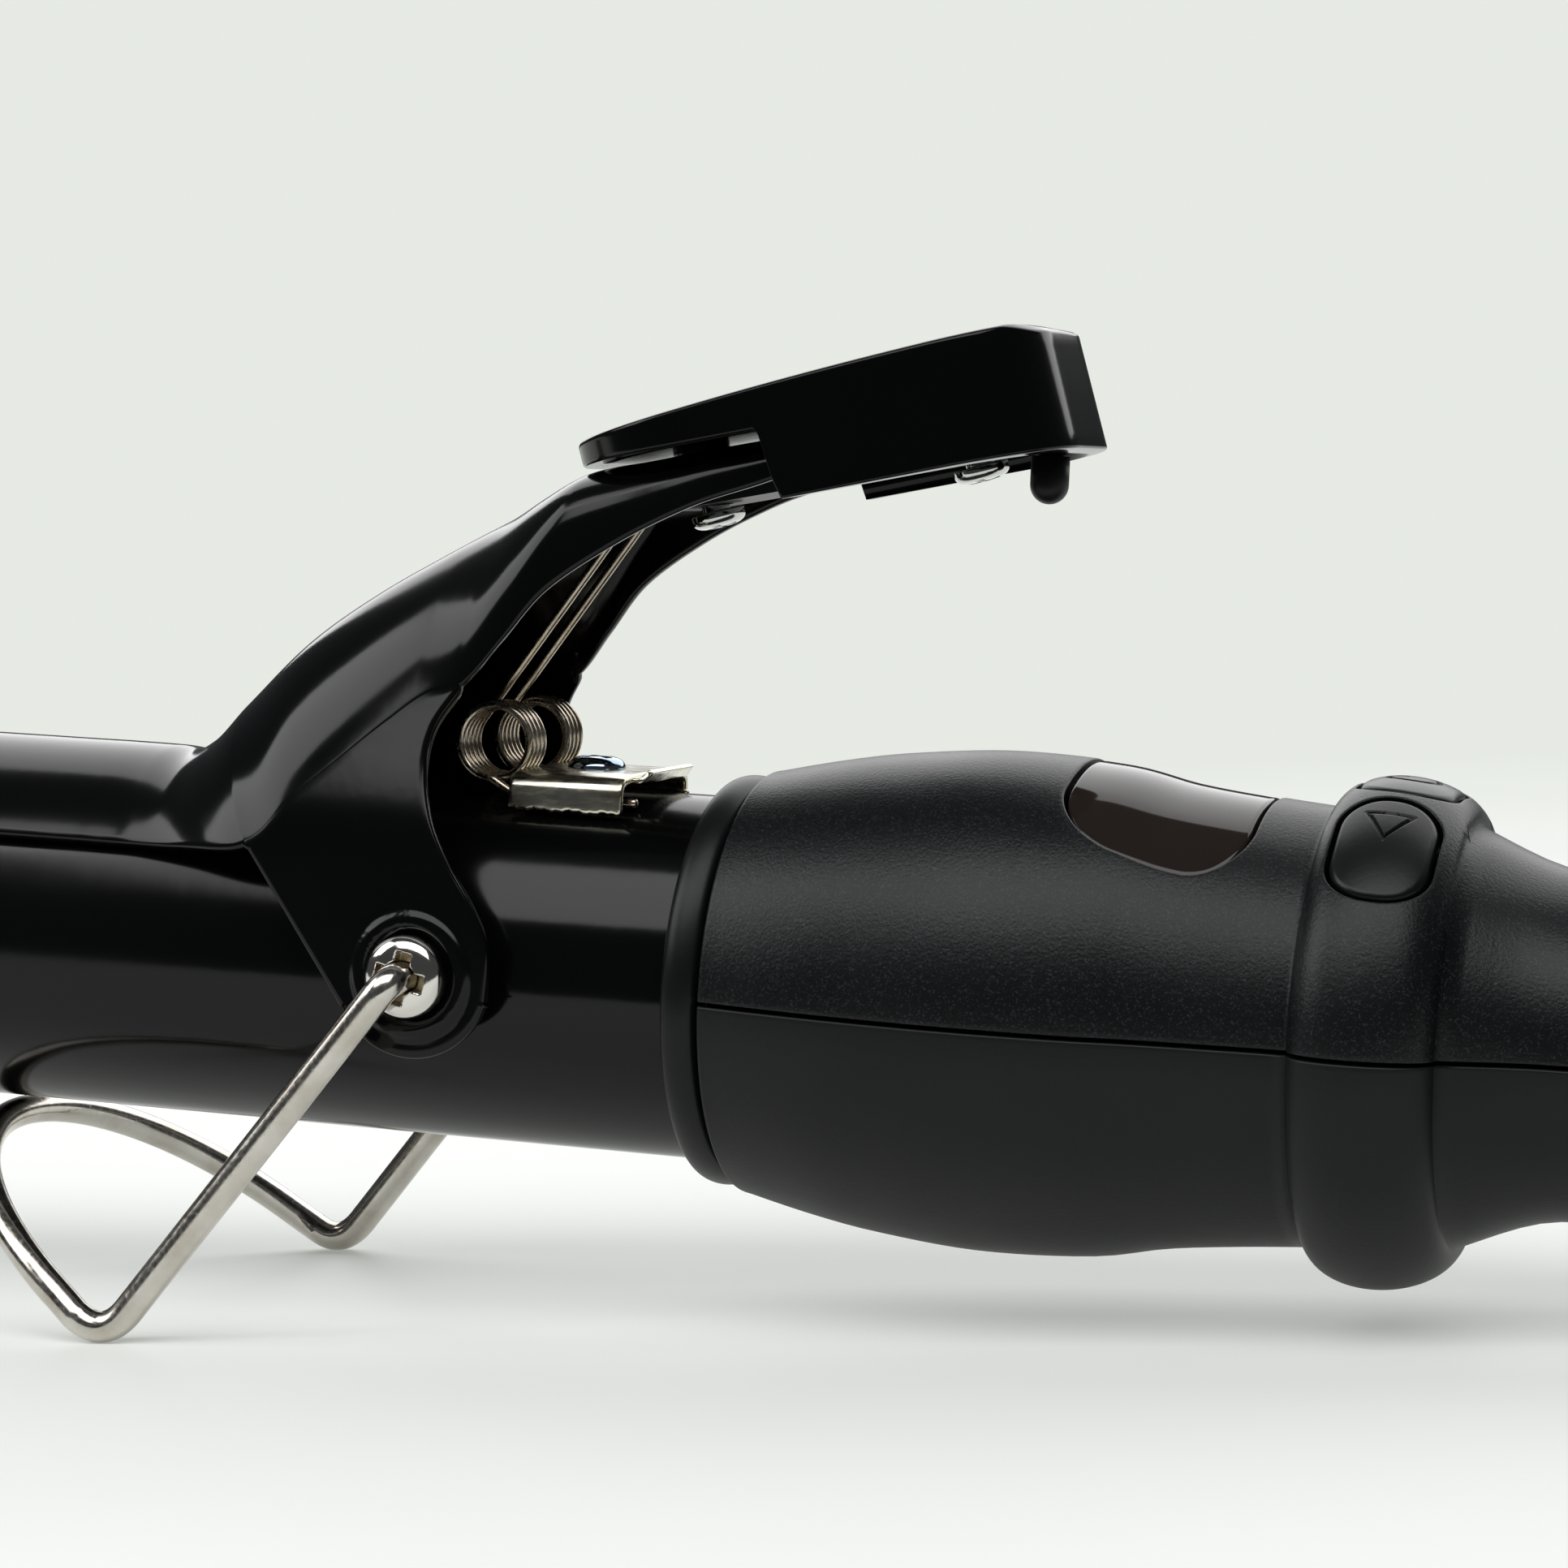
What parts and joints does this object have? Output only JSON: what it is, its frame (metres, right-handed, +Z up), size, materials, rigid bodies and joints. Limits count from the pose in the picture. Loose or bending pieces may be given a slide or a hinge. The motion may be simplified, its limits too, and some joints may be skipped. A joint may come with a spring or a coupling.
{
  "type": "curling iron",
  "caption": "Handheld curling iron: enamelled barrel with a sprung clamp and thumb lever, folding wire stand, display, push buttons and a cord swivel.",
  "frame": {"origin": "middle of the footprint box, at the height of the table that the iron rests on", "axes": "+X along the iron from the barrel's tip to the cord end, +Y across it, +Z up; the barrel is tipped 4.6 degrees, tip high, because it rests on its wire feet and on the grip"},
  "size_m": [0.3246, 0.0454, 0.0739],
  "materials": {
    "barrel_enamel": "glossy black heat-proof enamel",
    "clamp_enamel": "glossy black heat-proof enamel on bent steel sheet",
    "gloss_plastic": "glossy black",
    "satin_plastic": "satin black with a fine sparkle",
    "collar_plastic": "satin black",
    "matte_plastic": "fine matte black",
    "ring_plastic": "satin black, heat resistant",
    "smoked_lens": "smoked, polished",
    "nickel": "bright nickel plate",
    "zinc": "bright zinc plate",
    "blue_zinc": "blue zinc plate",
    "spring_steel": "bare spring wire",
    "aluminium": "extruded",
    "ceramic": "unglazed white ceramic",
    "board": "green solder resist",
    "silicone": "red-brown silicone sleeve",
    "black_rubber": "matte"
  },
  "bodies": {
    "iron": {"barrel_tube": "barrel_enamel", "tip_cap": "ring_plastic", "heat_spreader_upper": "aluminium", "heat_spreader_lower": "aluminium", "ptc_heater": "ceramic", "heater_spacer": "ceramic", "thermal_fuse": "nickel", "thermistor": "ceramic", "barrel_holder": "matte_plastic", "insulating_ring": "ring_plastic", "pivot_spindle": "zinc", "pivot_screw_near": "nickel", "pivot_screw_far": "nickel", "lever_spring": "spring_steel", "spring_bracket": "nickel", "bracket_screw": "blue_zinc", "handle_upper_shell": "satin_plastic", "handle_lower_shell": "matte_plastic", "display_lens": "smoked_lens", "display_module": "matte_plastic", "circuit_board": "board", "triac": "matte_plastic", "capacitor": "gloss_plastic", "switch_carrier": "matte_plastic", "terminal_block": "ceramic", "swivel_contacts": "matte_plastic", "switch_up": "matte_plastic", "switch_power": "matte_plastic", "switch_down": "matte_plastic", "heater_lead_near": "silicone", "heater_lead_far": "silicone", "mains_lead_near": "silicone", "mains_lead_far": "silicone", "handle_screw_1": "zinc", "handle_screw_2": "zinc", "handle_screw_3": "zinc"},
    "clamp": {"clamp": "clamp_enamel", "thumb_rest": "gloss_plastic", "thumb_rest_plate": "matte_plastic", "thumb_rest_screw_front": "zinc", "thumb_rest_screw_rear": "zinc", "bumper_pin": "black_rubber", "lever_rivet": "zinc"},
    "stand": {"wire_stand": "nickel"},
    "button_up": {"button_up": "collar_plastic"},
    "button_power": {"button_power": "collar_plastic"},
    "button_down": {"button_down": "collar_plastic"},
    "swivel": {"swivel_bush": "collar_plastic"}
  },
  "joints": [
    {"name": "clamp_lever", "type": "hinge", "parent": "iron", "child": "clamp", "pos_m": [-0.0119, 0, 0.02732], "axis": [0, 1, 0], "range_deg": [0, 22], "stiffness_Nm_per_rad": 0.3, "springref_deg": -22.92, "deforming": ["lever_spring"]},
    {"name": "stand_fold", "type": "hinge", "parent": "iron", "child": "stand", "pos_m": [-0.0119, 0, 0.02732], "axis": [0, 1, 0], "range_deg": [-130, 0]},
    {"name": "button_up_press", "type": "slide", "parent": "iron", "child": "button_up", "axis": [-0.064, -0.6018, -0.7961], "range_m": [0, 0.0006], "stiffness_N_per_m": 300},
    {"name": "button_power_press", "type": "slide", "parent": "iron", "child": "button_power", "axis": [-0.0801, 0, -0.9968], "range_m": [0, 0.0006], "stiffness_N_per_m": 300},
    {"name": "button_down_press", "type": "slide", "parent": "iron", "child": "button_down", "axis": [-0.064, 0.6018, -0.7961], "range_m": [0, 0.0006], "stiffness_N_per_m": 300},
    {"name": "cord_swivel", "type": "hinge", "parent": "iron", "child": "swivel", "pos_m": [0.08774, 0, 0.01885], "axis": [0.9968, 0, -0.0801], "continuous": true}
  ]
}
